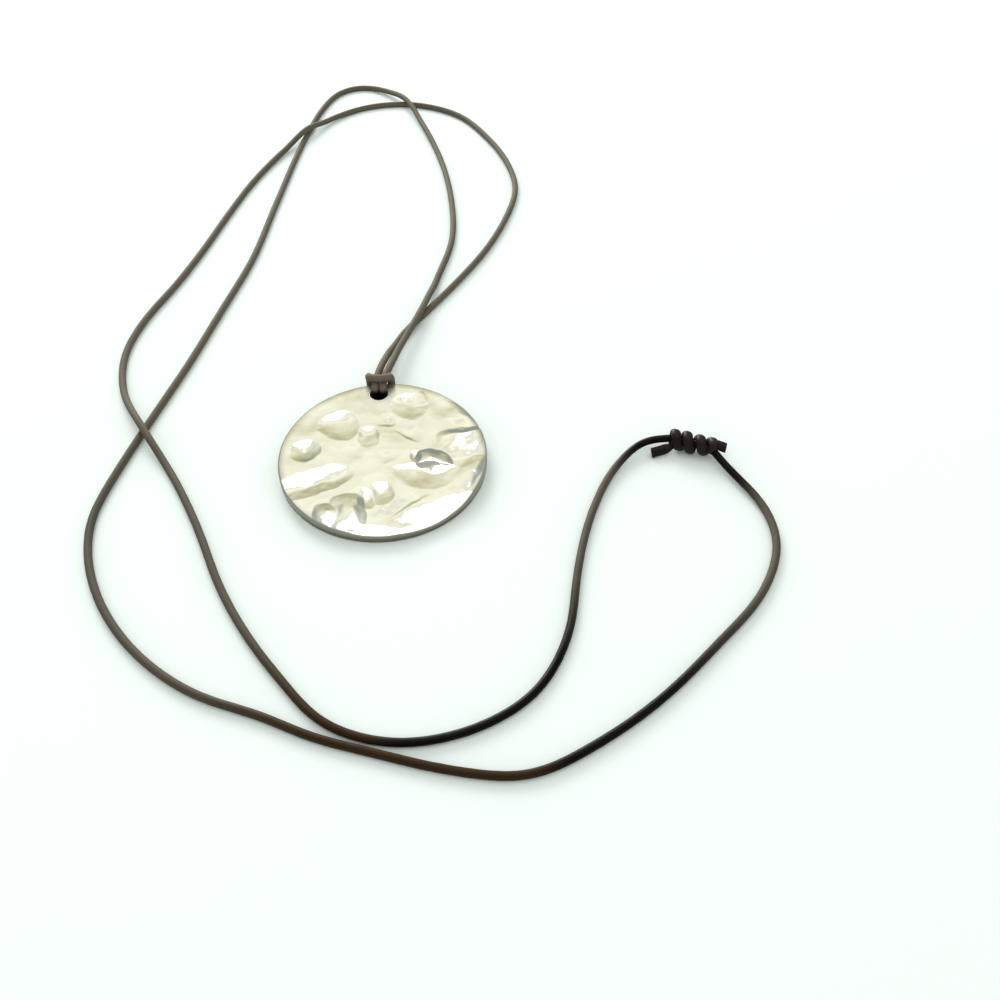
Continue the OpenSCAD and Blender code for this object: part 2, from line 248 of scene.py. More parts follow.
def round_tube(name, lines, sides, pressed=None, radius=CORD_R):
    """Mesh of one or more cords along lines of points, never below the surface. Its UV map
    runs along the cord in metres and once round it. pressed(line, i) gives a direction in
    which the cord is pressed wide at a point, as a vector whose length is the share."""
    vertices, faces, uvs = [], [], []
    for line in lines:
        first = len(vertices)
        ways = [(b - a).normalized() for a, b in zip(line, line[1:])]
        ways = [ways[0]] + [(a + b).normalized() for a, b in zip(ways, ways[1:])] + [ways[-1]]
        side = ways[0].orthogonal().normalized()
        fars = [0.0]
        for a, b in zip(line, line[1:]):
            fars.append(fars[-1] + (b - a).length)
        for i, (point, way) in enumerate(zip(line, ways)):
            side = (side - way * side.dot(way)).normalized()
            up = way.cross(side)
            wide = pressed(line, i) if pressed else Vector()
            for s in range(sides):
                a = 2 * math.pi * s / sides
                spot = radius * (math.cos(a) * side + math.sin(a) * up)
                spot = (spot * (1 - PRESS_THINS * wide.length)
                        + wide * spot.dot(wide.normalized()) * (1 + PRESS_THINS))
                spot *= 1 + UNEVEN * noise.noise((point + spot) * UNEVEN_BUMPS_PER_M)
                spot.z = max(spot.z, -point.z)
                vertices.append(point + spot)
        for i in range(len(line) - 1):
            for s in range(sides):
                t = (s + 1) % sides
                a, b = first + i * sides, first + (i + 1) * sides
                faces.append((a + s, a + t, b + t, b + s))
                u, v = fars[i], fars[i + 1]
                uvs += [(u, s / sides), (u, (s + 1) / sides), (v, (s + 1) / sides), (v, s / sides)]
        for i, order in ((0, range(sides - 1, -1, -1)), (len(line) - 1, range(sides))):
            faces.append([first + i * sides + s for s in order])
            uvs += [(fars[i], s / sides) for s in order]
    mesh = bpy.data.meshes.new(name)
    mesh.from_pydata(vertices, [], faces)
    mesh.uv_layers.new(name="along_and_round").data.foreach_set(
        "uv", [x for uv in uvs for x in uv])
    mesh.polygons.foreach_set("use_smooth", [True] * len(faces))
    mesh.update()
    return mesh


def on_surface(route):
    """The middle line of a cord whose route tells where it lies and how far it is lifted."""
    return [Vector((x, y, lift + CORD_R)) for x, y, lift in route]


left_points = [at_knot(-KNOT_END, *LEFT_ENTRY)] + on_surface(LEFT_ROUTE)[::-1]
hitch_points = LEFT_HITCH + RIGHT_HITCH[::-1]
right_points = on_surface(RIGHT_ROUTE) + [at_knot(KNOT_END, *RIGHT_ENTRY)]
cord_line, found = smooth_line(left_points + hitch_points + right_points, LINE_STEP)
left_end = found[len(left_points)]
right_start = found[len(left_points) + len(hitch_points) - 1]
left_line = relaxed(cord_line[:left_end + 1])
hitch_line = cord_line[left_end:right_start + 1]
right_line = relaxed(cord_line[right_start:])


def node_group(name, inputs, outputs):
    """An empty node group whose sockets are given as names and kinds. Returns its tree, the
    values that come in and the sockets that go out."""
    tree = bpy.data.node_groups.new(name, "ShaderNodeTree")
    for way, sockets in (("INPUT", inputs), ("OUTPUT", outputs)):
        for socket, kind in sockets.items():
            tree.interface.new_socket(name=socket, in_out=way, socket_type="NodeSocket" + kind)
    return tree, tree.nodes.new("NodeGroupInput").outputs, tree.nodes.new("NodeGroupOutput").inputs


def add(tree, kind, links=None, **values):
    """A node with its properties set and its inputs linked or set, by name or number."""
    node = tree.nodes.new("ShaderNode" + kind)
    for key, value in values.items():
        setattr(node, key, value)
    for key, value in (links or {}).items():
        if isinstance(value, bpy.types.NodeSocket):
            tree.links.new(value, node.inputs[key])
        else:
            node.inputs[key].default_value = value
    return node


def math_node(tree, operation, a, b=0.0, clamp=False):
    return add(tree, "Math", {0: a, 1: b}, operation=operation, use_clamp=clamp).outputs[0]


def scaled(tree, value, factor, plus):
    """Value times factor, plus another value."""
    links = {0: value, 1: factor, 2: plus}
    return add(tree, "Math", links, operation="MULTIPLY_ADD").outputs[0]


def ramp(tree, value, low, high):
    """Value mapped to 0 at low and 1 at high, with soft ends."""
    links = {"Value": value, "From Min": low, "From Max": high}
    return add(tree, "MapRange", links, interpolation_type="SMOOTHSTEP").outputs[0]


def mix(tree, share, a, b):
    """Colour a, or colour b where share is 1."""
    return add(tree, "Mix", {0: share, 6: a, 7: b}, data_type="RGBA").outputs[2]


def noise_node(tree, place, scale, detail, rough):
    """Noise from 0 to 1, with scale bumps in a metre."""
    links = {"Vector": place, "Scale": scale, "Detail": detail, "Roughness": rough}
    return add(tree, "TexNoise", links).outputs[0]


def flat_distance(tree, place, centre):
    """Distance of a place from a centre, as seen from above."""
    flat = add(tree, "VectorMath", {0: place, 1: (1, 1, 0)}, operation="MULTIPLY").outputs[0]
    from_centre = add(tree, "VectorMath", {0: flat, 1: (centre.x, centre.y, 0)},
                      operation="DISTANCE")
    return from_centre.outputs["Value"]


# Fine fibres soaked in brown wax and drawn round, in a slow twist. The wax hides them, so the
# cord is smooth and a little glossy, nearly black, and browner where the wax is thin or rubbed
# off. A brown run fades in over RUN_IN from its start and out over RUN_OUT round its end.
TWISTS_PER_M = 300.0
FIBRES_ROUND = 12.0
RUN_IN = 0.02
RUN_OUT = (0.004, -0.002)
RUBBED_BROWN = (0.027, 0.0135, 0.005, 1)

# The cord is darkest round FRONT and is painted paler from the first to the second given distance
# off it, as painted glare, with distances away from the viewer counted FRONT_SQUASH times, and a
# ragged start. Before FAR_Y the painted glare is only the given near share as strong, and it fades
# out towards the knots, over KNOTS_DARK from their middle.
FRONT_SQUASH = 1.5
FRONT = Vector((0.020, -0.050 * FRONT_SQUASH, 0))
GLARE_FROM = (0.026, 0.056)
GLARE_RAGGED = 0.006
FAR_Y = (-0.02, 0.03)
NEAR_GLARE = 0.65
KNOTS_DARK = (0.008, 0.0155)

# Inside the disc's hole the cord is painted black as painted shade, from a little above the face
# down.
HOLE_SHADE_PAINT = (0.002, 0.0015, 0.001, 1)
HOLE_SHADE_WITHIN = (HOLE_R, 0.7 * HOLE_R)
HOLE_SHADE_Z = (TOP_Z + 0.0008, TOP_Z - 0.0001)

SPOTS_SHARE = 0.35
FIBRE_SHARE = 0.5
CORD_ROUGH = 0.24
SPOTS_ROUGH = 0.12
GLARE_ZONE_ROUGH = 0.35
CORD_BUMP = 0.35
CORD_BUMP_HIGH = 0.00002


def waxed_cord_group():
    """Colour, roughness and relief of a waxed cord, with its brown run between two lengths along
    it, painted glare away from the front and painted shade inside the hole."""
    tree, start, end = node_group(
        "waxed_cord",
        {"Wax": "Color", "Thin Wax": "Color", "Glare Paint": "Color", "Run Start": "Float",
         "Run End": "Float"},
        {"Colour": "Color", "Roughness": "Float", "Relief": "Float"},
    )
    place = add(tree, "TexCoord").outputs["Object"]
    _, y, z = add(tree, "SeparateXYZ", {0: place}).outputs
    uv = add(tree, "UVMap", uv_map="along_and_round").outputs[0]
    along, around, _ = add(tree, "SeparateXYZ", {0: uv}).outputs
    spots = noise_node(tree, place, scale=500.0, detail=3.0, rough=0.6)
    stretch = noise_node(tree, place, scale=28.0, detail=1.0, rough=0.5)
    grain = noise_node(tree, place, scale=4000.0, detail=2.0, rough=0.6)

    rubbed = math_node(tree, "MULTIPLY", ramp(tree, spots, low=0.4, high=0.8), SPOTS_SHARE)
    thin = math_node(tree, "ADD", ramp(tree, stretch, low=0.35, high=0.68), rubbed, clamp=True)
    colour = mix(tree, thin, start["Wax"], start["Thin Wax"])
    run_full = math_node(tree, "ADD", start["Run Start"], RUN_IN)
    run_out = [math_node(tree, "ADD", start["Run End"], step) for step in RUN_OUT]
    on_run = math_node(tree, "MULTIPLY", ramp(tree, along, start["Run Start"], run_full),
                       ramp(tree, along, *run_out))
    colour = mix(tree, on_run, colour, RUBBED_BROWN)

    # Painted glare: the cord is painted paler, and made matt, away from the front.
    long_way = add(tree, "VectorMath", {0: place, 1: (1, FRONT_SQUASH, 1)}, operation="MULTIPLY")
    off_front = flat_distance(tree, long_way.outputs[0], FRONT)
    off_front = scaled(tree, spots, GLARE_RAGGED, off_front)
    off_knots = flat_distance(tree, place, KNOT_MIDDLE)
    glare_and_matt = math_node(tree, "MULTIPLY", ramp(tree, off_front, *GLARE_FROM),
                        ramp(tree, off_knots, *KNOTS_DARK))
    strength = scaled(tree, ramp(tree, y, *FAR_Y), 1 - NEAR_GLARE, NEAR_GLARE)
    glare_and_matt = math_node(tree, "MULTIPLY", glare_and_matt, strength)
    colour = mix(tree, glare_and_matt, colour, start["Glare Paint"])

    # Painted shade: the cord is painted black inside the hole.
    off_hole = flat_distance(tree, place, HOLE)
    hole_shade = math_node(tree, "MULTIPLY", ramp(tree, off_hole, *HOLE_SHADE_WITHIN),
                        ramp(tree, z, *HOLE_SHADE_Z))
    tree.links.new(mix(tree, hole_shade, colour, HOLE_SHADE_PAINT), end["Colour"])

    rough = scaled(tree, math_node(tree, "ADD", grain, spots), SPOTS_ROUGH, CORD_ROUGH)
    tree.links.new(scaled(tree, glare_and_matt, GLARE_ZONE_ROUGH, rough), end["Roughness"])

    twisted = scaled(tree, along, TWISTS_PER_M, around)
    turns = math_node(tree, "MULTIPLY", twisted, FIBRES_ROUND)
    wave = math_node(tree, "SINE", math_node(tree, "MULTIPLY", turns, 2 * math.pi))
    fibres = scaled(tree, wave, 0.5, 0.5)
    tree.links.new(scaled(tree, fibres, FIBRE_SHARE, grain), end["Relief"])
    return tree


WAXED_CORD = waxed_cord_group()


def cord_material(name, wax, thin_wax, glare_paint, waxy, brown_run):
    """Waxed cord with its own colours and brown run. waxy is the strength of its gloss."""
    material = bpy.data.materials.new(name)
    material.use_nodes = True
    tree = material.node_tree
    shader = tree.nodes["Principled BSDF"]
    cord = add(tree, "Group", {"Wax": wax, "Thin Wax": thin_wax, "Glare Paint": glare_paint,
                               "Run Start": brown_run[0], "Run End": brown_run[1]},
               node_tree=WAXED_CORD).outputs
    tree.links.new(cord["Colour"], shader.inputs["Base Color"])
    tree.links.new(cord["Roughness"], shader.inputs["Roughness"])
    bump = add(tree, "Bump", {"Height": cord["Relief"], "Strength": CORD_BUMP,
                              "Distance": CORD_BUMP_HIGH})
    tree.links.new(bump.outputs[0], shader.inputs["Normal"])
    shader.inputs["Specular IOR Level"].default_value = waxy
    return material


WAX = (0.0018, 0.0016, 0.0009, 1)
THIN_WAX = (0.0048, 0.0034, 0.0018, 1)
# The paler colour that is painted on as glare, away from the front.
GLARE_PAINT = (0.105, 0.092, 0.068, 1)
LEFT_RUN = (0.270, 0.302)
RIGHT_RUN = (0.268, 0.329)
STRAND_WAXY = 0.07
LEFT_CORD = cord_material("waxed_cord_left", WAX, THIN_WAX, GLARE_PAINT, STRAND_WAXY, LEFT_RUN)
RIGHT_CORD = cord_material("waxed_cord_right", WAX, THIN_WAX, GLARE_PAINT, STRAND_WAXY, RIGHT_RUN)

# The two strands, each from the hitch to its sliding knot.
left_mesh = round_tube("cord_left", [left_line[::-1]], CORD_SIDES)
left_cord = put("cord_left", left_mesh, LEFT_CORD)
right_mesh = round_tube("cord_right", [right_line], CORD_SIDES)
right_cord = put("cord_right", right_mesh, RIGHT_CORD)
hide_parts("cord_strand_left")
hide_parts("cord_strand_right")


# Hitch
# The doubled cord goes up through the rim hole and round the rim and locks over itself in a lark's
# head, pulled tight, with its bar on top, just outside the rim. It is rubbed matt there, painted
# paler as painted light, and a little thicker.
TIED_SIDES = 20
HITCH_R = 1.07 * CORD_R
# The hitch's paler colour is painted light.
HITCH_PAINTED_PALE = (0.150, 0.124, 0.098, 1)
RUBBED_WAXY = 0.03

# A brown run that would start past the cord's end, for a piece that has none.
NO_RUN = (1.0, 1.0)
HITCH_MATT_PAINTED_PALE = cord_material("waxed_cord_hitch", WAX, THIN_WAX, HITCH_PAINTED_PALE, RUBBED_WAXY, NO_RUN)

hitch_mesh = round_tube("hitch", [hitch_line], TIED_SIDES, radius=HITCH_R)
hitch = put("hitch", hitch_mesh, HITCH_MATT_PAINTED_PALE)
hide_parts("cord_hitch")


# Sliding knots
# Each end of the cord is wound tightly round the other strand, tucked in and cut short,
# so the pair slides to change the loop. The wound cord is pressed flat and wide.
WRAP_R = 0.00115
WRAP_START = 0.0003
WRAP_PITCH = 0.00174
WRAP_TURNS = 1.5
WRAP_STEPS = 12
WRAP_FROM = math.radians(-47)
WRAP_WIDE = 1.03
WRAP_NARROWS = 0.08
WRAP_PRESS = 0.36
RIGHT_SHARE = 0.91
CORE_STEP = 0.0003
WOUND_STEP = 0.0002

# The strand's line through a knot. Each row is a share of the knot's length and of the way
# off its middle line at which the strand enters.
CORE_WAY = [(0, 0), (0.35, 0), (0.7, 0.6)]

# Places from the knots' middle: where the wound cord starts, and the ends that were cut.
TUCKED = (0.0001, 0.0002, -0.0004)
LEFT_TAG = [(-0.0032, -0.0012, -0.0007), (-0.0040, -0.0018, -0.0008),
            (-0.0055, -0.0028, -0.00105)]
RIGHT_TAG = [(0.0032, 0.0004, 0.0003), (0.0040, 0.0004, 0.0002), (0.0047, 0.0004, 0.0001)]

# The cut end frays wide over its last TAG_POINTS. A line of no more than CORE_POINTS is the
# strand inside, which isn't pressed.
TAG_POINTS = 12
CORE_POINTS = 40
FRAY = 0.38
FRAY_WAY = Vector((0, 0.73, 0.68))

KNOT_WAX = (0.003, 0.003, 0.002, 1)
KNOT_THIN_WAX = (0.020, 0.013, 0.010, 1)
KNOT_WAXY = 0.08
WAXED_KNOT = cord_material("waxed_knot", KNOT_WAX, KNOT_THIN_WAX, GLARE_PAINT, KNOT_WAXY, NO_RUN)


def knot_lines(sign, wrap_r, entry, tag):
    """Lines of one knot's cords: the strand through it, and its windings with the tag."""
    core = [at_knot(sign * KNOT_L * along, entry[0] * off, entry[1] * off)
            for along, off in CORE_WAY]
    core.append(at_knot(sign * KNOT_END, *entry))
    tucked_x, tucked_y, tucked_z = TUCKED
    wound = [at_knot(sign * tucked_x, tucked_y, tucked_z)]
    for i in range(round(WRAP_TURNS * WRAP_STEPS) + 1):
        a = WRAP_FROM + 2 * math.pi * i / WRAP_STEPS
        x = WRAP_START + WRAP_PITCH * i / WRAP_STEPS
        r = wrap_r * (WRAP_WIDE - WRAP_NARROWS * i / (WRAP_TURNS * WRAP_STEPS))
        wound.append(at_knot(sign * x, sign * r * math.cos(a), r * math.sin(a)))
    wound += [at_knot(*p) for p in tag]
    return [smooth_line(core, CORE_STEP)[0], smooth_line(wound, WOUND_STEP)[0]]


def pressed_in_knot(line, i):
    """Windings are pressed along the knot, and the cut tag end is frayed a little wide."""
    share = min(1.0, max(0.0, (len(line) - 1 - i) / TAG_POINTS - 1))
    pressed = (at_knot(1, 0, 0) - at_knot(0, 0, 0)) * WRAP_PRESS * share
    if len(line) > CORE_POINTS:
        pressed += FRAY_WAY * (FRAY * (1 - share))
    return pressed


knots = {}
for side, sign, wrap_r, entry, tag in (
    ("left", -1, WRAP_R, LEFT_ENTRY, LEFT_TAG),
    ("right", 1, RIGHT_SHARE * WRAP_R, RIGHT_ENTRY, RIGHT_TAG),
):
    lines = knot_lines(sign, wrap_r, entry, tag)
    mesh = round_tube(f"knot_{side}", lines, TIED_SIDES, pressed_in_knot)
    knots[side] = put(f"knot_{side}", mesh, WAXED_KNOT)
    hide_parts(f"slide_knot_{side}")


# Pendant disc
# Cast in zinc alloy with a hammered face and plated in bright silver. The face is a fine
# net of triangles that the hammer marks sink, and the hole is cut through it.
ROLL_W = 0.0013
ROLL_DROP = 0.00015
SHOULDER = 0.0002
FACE_INSET = 0.00015
FACE_RINGS = 110

# Shallow undulations. Each row is x, y, length, width, depth and turn, and a negative
# depth is a swelling.
HOLLOWS = [
    (0.0004, -0.0006, 0.0036, 0.0032, 0.00007, 0),
    (-0.0052, 0.0010, 0.0070, 0.0050, 0.00008, -20),
    (0.0120, -0.0014, 0.0080, 0.0060, 0.00010, 0),
    (-0.0100, 0.0084, 0.0090, 0.0060, 0.00014, 45),
    (0.0096, 0.0090, 0.0080, 0.0050, 0.00014, -40),
    (0.0026, 0.0046, 0.0070, 0.0060, 0.00010, -30),
    (-0.0024, 0.0009, 0.0034, 0.0030, -0.00006, 0),
    (0.0008, -0.0124, 0.0084, 0.0080, 0.00015, 10),
]

# Marks with a clear edge. Each row is x, y, length, width, depth, turn, the share by which
# the deepest line lies towards the near edge, how flat it is, and how blunt its ends are.
# Cups are sunk and ridges raised.
CUPS = [
    (-0.0060, 0.0064, 0.0062, 0.0064, 0.00038, 30, -0.35, 0.9, 2),
    (0.0046, 0.0094, 0.0058, 0.0060, 0.00035, 6, -0.3, 0.6, 2),
    (-0.0019, 0.0038, 0.0032, 0.0042, 0.00024, 0, -0.2, 0.6, 4),
    (-0.0111, 0.0020, 0.0048, 0.0042, 0.00044, 32, 0.0, 0.6, 2),
    (-0.0101, -0.0042, 0.0120, 0.0048, 0.00040, 17, 0.2, 0.6, 4),
    (0.0058, -0.0049, 0.0096, 0.0050, 0.00040, -6, -0.55, 0.7, 2),
    (-0.0025, -0.0083, 0.0030, 0.0038, 0.00028, 10, 0.0, 0.6, 2),
    (-0.0006, -0.0074, 0.0036, 0.0046, 0.00034, 10, 0.0, 0.6, 2),
    (0.0085, -0.0147, 0.0150, 0.0104, 0.00084, 24, 0.0, 0.5, 4),
    (-0.0024, -0.0158, 0.0120, 0.0056, 0.00044, -3, 0.0, 0.5, 2),
    (0.0044, 0.0040, 0.0046, 0.0030, 0.00016, -42, 0.55, 0.7, 2),
    (0.0009, 0.0070, 0.0030, 0.0030, 0.00016, -5, 0.55, 0.7, 2),
    (0.0047, -0.0010, 0.0016, 0.0024, 0.00022, 20, 0.0, 0.7, 2),
]
RIDGES = [
    (0.0071, -0.0021, 0.0056, 0.0042, 0.00064, -28, 0.0, 0.5, 3),
    (0.0122, 0.0009, 0.0088, 0.0064, 0.00043, 4, -0.58, 0.4, 4),
    (-0.0081, -0.0104, 0.0046, 0.0038, 0.00046, -44, -0.1, 0.6, 2),
    (-0.0055, -0.0104, 0.0070, 0.0054, 0.00056, -86, -0.35, 0.5, 3),
    (0.0036, -0.0109, 0.0070, 0.0022, 0.00015, 32, -0.5, 0.6, 2),
    (0.0122, -0.0045, 0.0080, 0.0030, 0.00022, 63, 0.3, 0.6, 2),
    (0.0056, 0.0107, 0.0030, 0.0034, 0.00016, -80, -0.6, 0.7, 2),
    (0.0114, 0.0066, 0.0070, 0.0030, 0.00020, -59, -0.4, 0.6, 2),
]
MARK_SOFT = 0.00003
DIMPLE_W = 0.0029
DIMPLE_DEEP = 0.00006
SWELL_HIGH = 0.00003
SWELL_W = 0.003

# The marks' outlines wander. Each row is how far, the width of the bends, and the seeds for
# x and y.
WANDER = [(0.0003, 0.002, 3, 4), (0.0001, 0.0009, 5, 6)]


def uneven(x, y, wave, seed):
    """Smooth unevenness of about -1 to 1 whose bumps are wave wide."""
    return noise.noise(Vector((x / wave, y / wave, seed)))


def in_mark(x, y, mark):
    """A point's place in a mark along its length and across it, each from -1 to 1."""
    mark_x, mark_y, length, width, _, turn = mark[:6]
    c, s = math.cos(math.radians(turn)), math.sin(math.radians(turn))
    dx, dy = x - mark_x, y - mark_y
    return (dx * c + dy * s) * 2 / length, (dy * c - dx * s) * 2 / width


def struck(x, y, marks):
    """Depth of the deepest of the marks at a point, with the edges between them eased."""
    deep = 0.0
    for mark in marks:
        depth, _, lean, flat, blunt = mark[4:]
        a, b = in_mark(x, y, mark)
        b += lean
        b /= 1 + lean if b > 0 else 1 - lean
        q = abs(a) ** blunt + b * b
        if q < 1:
            here = depth * (1 - q ** flat)
            share = min(1.0, max(0.0, 0.5 + 0.5 * (deep - here) / MARK_SOFT))
            deep = here * (1 - share) + deep * share + MARK_SOFT * share * (1 - share)
    return deep


def face_z(x, y):
    """Height of the hammered face above the disc's flat back."""
    out = max(0.0, math.hypot(x, y) - DISC_R + ROLL_W) / ROLL_W
    z = DISC_T - ROLL_DROP * out * out
    moved_x, moved_y = x, y
    for far, wave, seed_x, seed_y in WANDER:
        moved_x += far * uneven(x, y, wave, seed_x)
        moved_y += far * uneven(x, y, wave, seed_y)
    x, y = moved_x, moved_y
    z += SWELL_HIGH * uneven(x, y, SWELL_W, seed=1)
    dimple = noise.voronoi(Vector((x, y, 0)) / DIMPLE_W)[0][0]
    z += DIMPLE_DEEP * min(1.0, dimple * dimple)
    for mark in HOLLOWS:
        a, b = in_mark(x, y, mark)
        z -= mark[4] * max(0.0, 1 - a * a - b * b) ** 2
    return z - struck(x, y, CUPS) + struck(x, y, RIDGES)


def disc_mesh():
    """The whole disc before its hole is cut. The face has a point in its middle and rings
    round it, each with six points more than the one inside."""
    vertices, faces = [], []
    starts = []
    for k in range(FACE_RINGS + 1):
        starts.append(len(vertices))
        r = (DISC_R - FACE_INSET) * k / FACE_RINGS
        for i in range(max(1, 6 * k)):
            a = math.radians(60 * i / max(1, k))
            x, y = r * math.cos(a), r * math.sin(a)
            vertices.append((x, y, face_z(x, y)))

    def ring(k, i):
        return starts[k] + i % max(1, 6 * k)

    for k in range(1, FACE_RINGS + 1):
        for s in range(6):
            for j in range(k):
                outer, inner = s * k + j, s * (k - 1) + j
                faces.append((ring(k, outer), ring(k, outer + 1), ring(k - 1, inner)))
                if j < k - 1:
                    faces.append((ring(k, outer + 1), ring(k - 1, inner + 1), ring(k - 1, inner)))

    # The side: a rounded shoulder below the face, the wall, the foot's small chamfer and the
    # flat back's edge. Each row is a radius and the height, worked out from the face's edge.
    count = 6 * FACE_RINGS
    profile = [
        (DISC_R - 0.00007, lambda z: z - 0.00004), (DISC_R - 0.00002, lambda z: z - 0.0001),
        (DISC_R, lambda z: z - SHOULDER), (DISC_R, lambda z: FOOT_CHAMFER),
        (DISC_R - 0.00009, lambda z: 0.00009), (DISC_R - FOOT_CHAMFER, lambda z: 0),
        (DISC_R - 0.0012, lambda z: 0),
    ]
    above = starts[-1]
    for r, height in profile:
        below = len(vertices)
        for i in range(count):
            a = 2 * math.pi * i / count
            x, y = DISC_R * math.cos(a), DISC_R * math.sin(a)
            vertices.append((r * math.cos(a), r * math.sin(a), height(face_z(x, y))))
        for i in range(count):
            j = (i + 1) % count
            faces.append((above + j, above + i, below + i, below + j))
        above = below
    faces.append([above + i for i in range(count)][::-1])
    mesh = bpy.data.meshes.new("pendant")
    mesh.from_pydata(vertices, [], faces)
    return mesh


HOLE_SIDES = 64
DRILL_Z = (-0.001, 0.003)


def cut_hole(mesh):
    """The mesh with the cord's hole cut through it."""
    solid = bpy.data.objects.new("solid", mesh)
    sides = HOLE_SIDES
    ring = [(HOLE_R * math.cos(2 * math.pi * i / sides),
             HOLE_Y + HOLE_R * math.sin(2 * math.pi * i / sides)) for i in range(sides)]
    drill_mesh = bpy.data.meshes.new("drill")
    drill_mesh.from_pydata(
        [(x, y, z) for z in DRILL_Z for x, y in ring], [],
        [(i, (i + 1) % sides, sides + (i + 1) % sides, sides + i) for i in range(sides)]
        + [list(range(sides))[::-1], list(range(sides, 2 * sides))],
    )
    drill = bpy.data.objects.new("drill", drill_mesh)
    for o in (solid, drill):
        scene.collection.objects.link(o)
    cut = solid.modifiers.new("hole", "BOOLEAN")
    cut.object = drill
    cut.solver = "EXACT"
    depsgraph = bpy.context.evaluated_depsgraph_get()
    done = bpy.data.meshes.new_from_object(solid.evaluated_get(depsgraph))
    for o in (solid, drill):
        bpy.data.objects.remove(o)
    return done


SHARP_EDGE = math.radians(50)


def place_disc(mesh):
    """Turns the disc's hole to its side and tilts it over the cord under its rim."""
    middle = (DISC_T + FOOT_CHAMFER - SHOULDER) / 2 * math.sin(TILT)
    for v in mesh.vertices:
        x, y, z = v.co
        y, z = (y * math.cos(TILT) - z * math.sin(TILT) + middle,
                y * math.sin(TILT) + z * math.cos(TILT) + PIVOT_Y * math.sin(TILT))
        v.co = (x * math.cos(HOLE_TURN) - y * math.sin(HOLE_TURN),
                x * math.sin(HOLE_TURN) + y * math.cos(HOLE_TURN), z)
    mesh.polygons.foreach_set("use_smooth", [True] * len(mesh.polygons))
    mesh.set_sharp_from_angle(angle=SHARP_EDGE)
    mesh.update()
    return mesh


# Bright silver plate over the hammered casting: warm and mirror-like on the face, with painted
# warm reflection in thin yellow-brown clouds, rubbed matt by the cord round the hole, and a dull
# side wall painted dark, with painted shade deepening to its foot.
PLATE = (0.93, 0.92, 0.83, 1)
PAINTED_WARM_REFLECTION = (0.82, 0.785, 0.66, 1)
WALL_FOOT_SHADE = (0.13, 0.125, 0.095, 1)
WALL_TOP_SHADE = (0.34, 0.325, 0.265, 1)
WALL_Z = (0.0004, 0.0016)
EDGE_FROM = (DISC_R - 0.00012, DISC_R - 0.00002)
RUBBED_ROUND_HOLE = (0.0036, 0.0020)
PLATE_ROUGH = 0.06
CLOUD_ROUGH = 0.10
WALL_ROUGH = 0.35
RUBBED_ROUGH = 0.30
PLATE_BUMP = 0.25
PLATE_BUMP_HIGH = 0.00004


def silver_material():
    material = bpy.data.materials.new("hammered_silver")
    material.use_nodes = True
    tree = material.node_tree
    shader = tree.nodes["Principled BSDF"]
    shader.inputs["Metallic"].default_value = 1.0
    place = add(tree, "TexCoord").outputs["Object"]
    height = add(tree, "SeparateXYZ", {0: place}).outputs[2]
    cloud = noise_node(tree, place, scale=220.0, detail=3.0, rough=0.6)
    fine = noise_node(tree, place, scale=1500.0, detail=3.0, rough=0.6)
    edge = ramp(tree, flat_distance(tree, place, Vector()), *EDGE_FROM)
    rubbed = ramp(tree, flat_distance(tree, place, HOLE), *RUBBED_ROUND_HOLE)

    # Painted warm reflection in yellow-brown clouds on the face.
    plate = mix(tree, ramp(tree, cloud, low=0.45, high=0.8), PLATE, PAINTED_WARM_REFLECTION)
    # The side wall is painted dark, with painted shade deepening to its foot.
    wall = mix(tree, ramp(tree, height, *WALL_Z), WALL_FOOT_SHADE, WALL_TOP_SHADE)
    tree.links.new(mix(tree, edge, plate, wall), shader.inputs["Base Color"])
    rough = scaled(tree, cloud, CLOUD_ROUGH, PLATE_ROUGH)
    rough = scaled(tree, edge, WALL_ROUGH, rough)
    rough = scaled(tree, rubbed, RUBBED_ROUGH, rough)
    tree.links.new(rough, shader.inputs["Roughness"])
    bump = add(tree, "Bump", {"Height": fine, "Strength": PLATE_BUMP,
                              "Distance": PLATE_BUMP_HIGH})
    tree.links.new(bump.outputs[0], shader.inputs["Normal"])
    return material


pendant_mesh = place_disc(cut_hole(disc_mesh()))
pendant = put("pendant", pendant_mesh, silver_material())
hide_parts("pendant_disc")


# Floor and light
# A plain white table top, overexposed as in the photograph, under a large soft light from
# above and behind, to the left, so the shadows are pale and fall to the near right.
FLOOR_COLOUR = (0.87, 0.955, 0.91, 1)
FLOOR_ROUGH = 0.9
FLOOR_HALF = 3.0
FLOOR_UNDER = 0.00001


def floor_material():
    material = bpy.data.materials.new("floor")
    material.use_nodes = True
    shader = material.node_tree.nodes["Principled BSDF"]
    shader.inputs["Base Color"].default_value = FLOOR_COLOUR
    shader.inputs["Roughness"].default_value = FLOOR_ROUGH
    return material


floor_mesh = bpy.data.meshes.new("floor")
floor_mesh.from_pydata(
    [(-FLOOR_HALF, -FLOOR_HALF, 0), (FLOOR_HALF, -FLOOR_HALF, 0),
     (FLOOR_HALF, FLOOR_HALF, 0), (-FLOOR_HALF, FLOOR_HALF, 0)], [], [(0, 1, 2, 3)])
floor = bpy.data.objects.new("floor", floor_mesh)
floor.location.z = -FLOOR_UNDER
floor_mesh.materials.append(floor_material())
scene.collection.objects.link(floor)


# The ceiling light's height and half its width, its soft edge and its dim frame.
LIGHT_HIGH = math.radians(86)
LIGHT_HALF = math.radians(25)
LIGHT_EDGE = math.radians(1.5)
FRAME_W = math.radians(7)
FRAME_SHARE = 0.7

